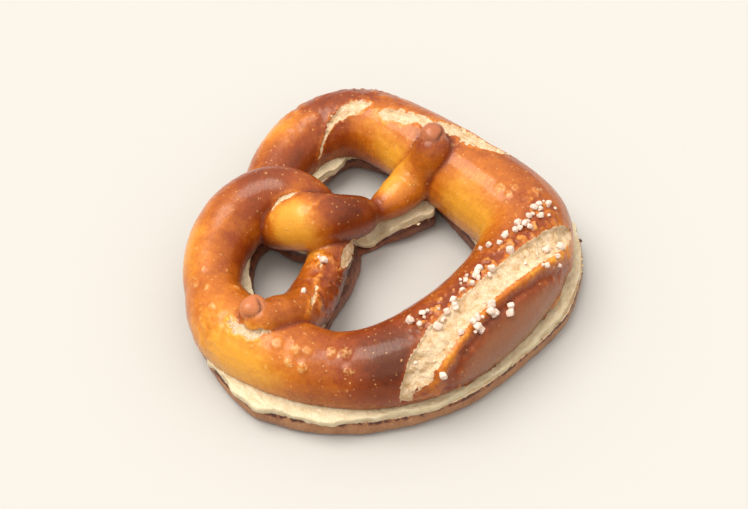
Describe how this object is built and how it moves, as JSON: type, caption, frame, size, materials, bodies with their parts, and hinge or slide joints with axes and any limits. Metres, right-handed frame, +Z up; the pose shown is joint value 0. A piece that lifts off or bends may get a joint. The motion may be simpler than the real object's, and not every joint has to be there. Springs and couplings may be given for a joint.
{
  "type": "soft pretzel",
  "caption": "Baked lye pretzel knot, sliced level and filled with butter, with a salted slash along its belly.",
  "frame": {"origin": "middle of the footprint, on the surface that the pretzel lies on", "axes": "+X along the belly towards the pretzel's right shoulder, +Y from the slashed belly towards the twist, +Z up"},
  "size_m": [0.1607, 0.155, 0.0452],
  "materials": {
    "crust": "glossy baked lye crust, golden to mahogany, with pale torn crumb",
    "base_crust": "dull brown underside crust with a pale level cut face",
    "butter": "soft pale butter",
    "salt": "coarse off-white salt"
  },
  "bodies": {
    "root": {"base_slice": "base_crust", "butter": "butter", "top_slice": "crust"}
  },
  "joints": []
}
